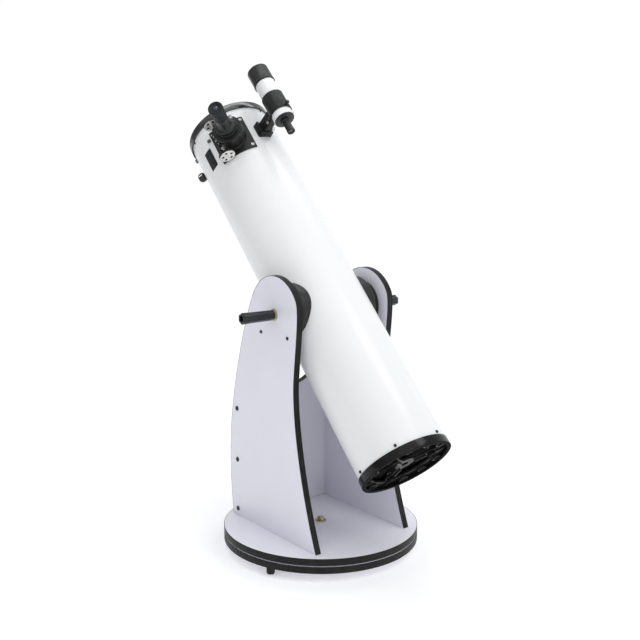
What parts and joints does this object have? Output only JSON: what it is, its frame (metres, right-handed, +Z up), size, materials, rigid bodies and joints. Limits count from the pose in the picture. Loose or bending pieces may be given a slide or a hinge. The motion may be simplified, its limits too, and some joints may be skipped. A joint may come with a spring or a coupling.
{
  "type": "dobsonian telescope",
  "caption": "Newtonian telescope with a white tube on a turning white rocker box with black edges; side eyepiece focuser and small finder scope.",
  "frame": {"origin": "on the floor under the azimuth pivot, at the centre of the three feet", "axes": "+Z up; +X along the altitude axis; the tube's open end looks up towards +Y, and the eyepiece is on the -X side"},
  "size_m": [0.52, 0.9396, 1.2802],
  "materials": {
    "white_laminate": "satin white melamine laminate on chipboard",
    "edge_banding": "satin black plastic edge tape",
    "rubber": "matte black rubber",
    "nylon": "off-white nylon",
    "plated_steel": "zinc plated steel",
    "brass": "dull yellow plated",
    "white_enamel": "gloss white baked enamel",
    "gloss_black": "gloss black paint",
    "black_casting": "satin black paint on a die casting",
    "black_anodised": "black anodised, machined",
    "silver": "bright turned, clear anodised",
    "black_plastic": "satin black moulded plastic",
    "eyecup_rubber": "ribbed black rubber over a barrel",
    "mirror_coating": "front-coated glass mirror",
    "lens_glass": "coated lens glass"
  },
  "bodies": {
    "base": {"ground_board": "white_laminate", "ground_edge_band": "edge_banding", "foot_1": "rubber", "foot_2": "rubber", "foot_3": "rubber", "azimuth_pad_1": "nylon", "azimuth_pad_2": "nylon", "azimuth_pad_3": "nylon", "pivot_bolt": "plated_steel", "pivot_nut": "brass"},
    "rocker": {"azimuth_board": "white_laminate", "azimuth_edge_band": "edge_banding", "side_panel_left": "white_laminate", "side_panel_right": "white_laminate", "edge_band_left": "edge_banding", "edge_band_right": "edge_banding", "cradle_left_front": "nylon", "cradle_left_rear": "nylon", "cradle_right_front": "nylon", "cradle_right_rear": "nylon", "front_panel": "white_laminate", "front_edge_band": "edge_banding", "carry_handle": "black_plastic"},
    "optical_tube": {"tube_shell": "white_enamel", "front_ring": "gloss_black", "rear_ring": "gloss_black", "cell_frame": "black_casting", "mirror_cell": "black_casting", "primary_mirror": "mirror_coating", "spider": "black_anodised", "secondary_holder": "black_anodised", "secondary_mirror": "mirror_coating", "altitude_bearing_left": "black_plastic", "altitude_bearing_right": "black_plastic", "focuser_housing": "black_casting", "finder_shoe": "black_casting"},
    "tension_handle_left": {"tension_handle_left": "black_plastic"},
    "tension_handle_right": {"tension_handle_right": "black_plastic"},
    "focusing_shaft": {"focus_shaft": "plated_steel", "focus_knob_front": "silver", "focus_knob_rear": "silver"},
    "drawtube": {"drawtube": "black_anodised"},
    "focus_lock_screw": {"focus_lock_screw": "black_anodised"},
    "eyepiece_adapter": {"eyepiece_adapter": "black_anodised"},
    "adapter_clamp_screw": {"adapter_clamp_screw": "plated_steel"},
    "eyepiece": {"eyepiece": "eyecup_rubber"},
    "shoe_screw": {"shoe_screw": "plated_steel"},
    "finder_bracket": {"finder_bracket": "black_casting"},
    "finder": {"finder_tube": "white_enamel", "finder_rear_housing": "black_plastic", "finder_dew_shield": "black_plastic", "finder_objective": "lens_glass"},
    "finder_eyepiece": {"finder_eyepiece": "black_plastic"},
    "bracket_screw_top": {"bracket_screw_top": "black_plastic"},
    "bracket_screw_side": {"bracket_screw_side": "black_plastic"},
    "spring_plunger": {"spring_plunger": "plated_steel"},
    "collimation_knob_1": {"collimation_knob_1": "black_plastic"},
    "collimation_knob_2": {"collimation_knob_2": "black_plastic"},
    "collimation_knob_3": {"collimation_knob_3": "black_plastic"},
    "side_knob": {"side_knob": "black_plastic"}
  },
  "joints": [
    {"name": "azimuth", "type": "hinge", "parent": "base", "child": "rocker", "pos_m": [0, 0, 0.063], "axis": [0, 0, 1], "continuous": true},
    {"name": "altitude", "type": "hinge", "parent": "rocker", "child": "optical_tube", "pos_m": [0, -0.006, 0.643], "axis": [1, 0, 0], "range_deg": [-46, 44]},
    {"name": "tension_handle_left_turn", "type": "hinge", "parent": "optical_tube", "child": "tension_handle_left", "pos_m": [-0.155, -0.006, 0.643], "axis": [-1, 0, 0], "range_deg": [-45, 180]},
    {"name": "tension_handle_right_turn", "type": "hinge", "parent": "optical_tube", "child": "tension_handle_right", "pos_m": [0.155, -0.006, 0.643], "axis": [1, 0, 0], "range_deg": [-45, 180]},
    {"name": "drawtube_travel", "type": "slide", "parent": "optical_tube", "child": "drawtube", "axis": [-0.6769, -0.5295, 0.5113], "range_m": [0, 0.045]},
    {"name": "focusing_shaft_turn", "type": "hinge", "parent": "optical_tube", "child": "focusing_shaft", "pos_m": [-0.119, 0.29753, 1.07555], "axis": [0, 0.6947, 0.7193], "range_deg": [-516, 0]},
    {"name": "focus_lock_screw_turn", "type": "hinge", "parent": "optical_tube", "child": "focus_lock_screw", "pos_m": [-0.12654, 0.26517, 1.05355], "axis": [-0.4732, -0.2192, -0.8533], "range_deg": [0, 180]},
    {"name": "adapter_lift_out", "type": "slide", "parent": "drawtube", "child": "eyepiece_adapter", "axis": [-0.6769, -0.5295, 0.5113], "range_m": [0, 0.035]},
    {"name": "adapter_clamp_screw_turn", "type": "hinge", "parent": "eyepiece_adapter", "child": "adapter_clamp_screw", "pos_m": [-0.12537, 0.22935, 1.13535], "axis": [0.7249, -0.6001, 0.3381], "range_deg": [0, 180]},
    {"name": "eyepiece_lift_out", "type": "slide", "parent": "eyepiece_adapter", "child": "eyepiece", "axis": [-0.6769, -0.5295, 0.5113], "range_m": [0, 0.03]},
    {"name": "shoe_screw_turn", "type": "hinge", "parent": "optical_tube", "child": "shoe_screw", "pos_m": [0.03193, 0.26395, 1.1052], "axis": [0.9976, 0.0502, -0.0485], "range_deg": [0, 180]},
    {"name": "finder_bracket_lift_out", "type": "slide", "parent": "optical_tube", "child": "finder_bracket", "axis": [0, 0.6947, 0.7193], "range_m": [0, 0.042]},
    {"name": "finder_aim", "type": "hinge", "parent": "finder_bracket", "child": "finder", "pos_m": [0.01419, 0.23559, 1.18541], "axis": [-0.9976, -0.0502, 0.0485], "range_deg": [-0.8, 0.8]},
    {"name": "finder_eyepiece_focus", "type": "hinge", "parent": "finder", "child": "finder_eyepiece", "pos_m": [0.01419, 0.16057, 1.10772], "axis": [0, 0.6947, 0.7193], "range_deg": [-90, 180]},
    {"name": "bracket_screw_top_turn", "type": "hinge", "parent": "finder_bracket", "child": "bracket_screw_top", "pos_m": [0.01671, 0.17364, 1.17295], "axis": [0.0698, -0.7176, 0.693], "range_deg": [-90, 180]},
    {"name": "bracket_screw_side_turn", "type": "hinge", "parent": "finder_bracket", "child": "bracket_screw_side", "pos_m": [0.05011, 0.20128, 1.14626], "axis": [0.9976, 0.0502, -0.0485], "range_deg": [-90, 180]},
    {"name": "spring_plunger_travel", "type": "slide", "parent": "finder_bracket", "child": "spring_plunger", "axis": [-0.7547, 0.4719, -0.4557], "range_m": [0, 0.003], "stiffness_N_per_m": 600},
    {"name": "collimation_knob_1_turn", "type": "hinge", "parent": "optical_tube", "child": "collimation_knob_1", "pos_m": [0, -0.28214, 0.25628], "axis": [0, -0.6947, -0.7193], "range_deg": [-90, 180]},
    {"name": "collimation_knob_2_turn", "type": "hinge", "parent": "optical_tube", "child": "collimation_knob_2", "pos_m": [-0.06062, -0.35767, 0.32922], "axis": [0, -0.6947, -0.7193], "range_deg": [-90, 180]},
    {"name": "collimation_knob_3_turn", "type": "hinge", "parent": "optical_tube", "child": "collimation_knob_3", "pos_m": [0.06062, -0.35767, 0.32922], "axis": [0, -0.6947, -0.7193], "range_deg": [-90, 180]},
    {"name": "side_knob_turn", "type": "hinge", "parent": "optical_tube", "child": "side_knob", "pos_m": [-0.07269, 0.45915, 0.96952], "axis": [-0.5592, 0.5964, -0.5759], "range_deg": [-90, 180]}
  ],
  "couplings": [
    {"joint": "focusing_shaft_turn", "follows": "drawtube_travel", "rad_per_m": -200}
  ]
}
